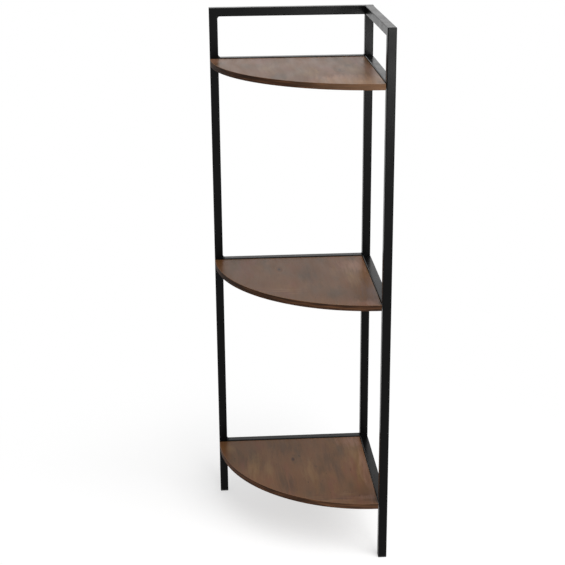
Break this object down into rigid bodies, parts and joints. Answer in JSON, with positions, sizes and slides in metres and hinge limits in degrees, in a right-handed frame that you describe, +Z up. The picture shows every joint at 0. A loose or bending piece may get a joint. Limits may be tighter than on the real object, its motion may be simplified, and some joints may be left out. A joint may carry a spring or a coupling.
{
  "type": "corner shelf",
  "caption": "Free-standing corner shelf: square-tube steel frame with quarter-round wood-look boards and an open gallery rail at the top.",
  "frame": {"origin": "on the floor, in the middle of the shelf's box (bolt heads at the back included)", "axes": "+Z up; the room corner is towards +X +Y, the left side's rails run along X at the back, the right side's rails run along Y"},
  "size_m": [0.29, 0.2934, 0.94],
  "materials": {
    "frame_coat": "black powder coat, semi-gloss, fine texture",
    "board": "walnut-look decor paper on particle board, satin",
    "edging": "walnut-look edging strip, satin",
    "foot_plastic": "moulded black, matt",
    "bolt_steel": "black zinc plate",
    "screw_steel": "bright zinc plate",
    "nut_steel": "plain steel, as machined"
  },
  "bodies": {
    "root": {"board_screws": "screw_steel", "corner_foot": "foot_plastic", "corner_post": "frame_coat", "frame_bolts": "bolt_steel", "left_foot": "foot_plastic", "left_post": "frame_coat", "lower_board": "board", "lower_edging": "edging", "lower_rail_left": "frame_coat", "lower_rail_right": "frame_coat", "lower_tab_left_1": "frame_coat", "lower_tab_left_2": "frame_coat", "lower_tab_right_1": "frame_coat", "lower_tab_right_2": "frame_coat", "middle_board": "board", "middle_edging": "edging", "middle_rail_left": "frame_coat", "middle_rail_right": "frame_coat", "middle_tab_left_1": "frame_coat", "middle_tab_left_2": "frame_coat", "middle_tab_right_1": "frame_coat", "middle_tab_right_2": "frame_coat", "rail_end_nuts": "nut_steel", "right_foot": "foot_plastic", "right_post": "frame_coat", "top_rail_cap": "frame_coat", "top_rail_left": "frame_coat", "top_rail_right": "frame_coat", "upper_board": "board", "upper_edging": "edging", "upper_rail_left": "frame_coat", "upper_rail_right": "frame_coat", "upper_tab_left_1": "frame_coat", "upper_tab_left_2": "frame_coat", "upper_tab_right_1": "frame_coat", "upper_tab_right_2": "frame_coat"}
  },
  "joints": []
}
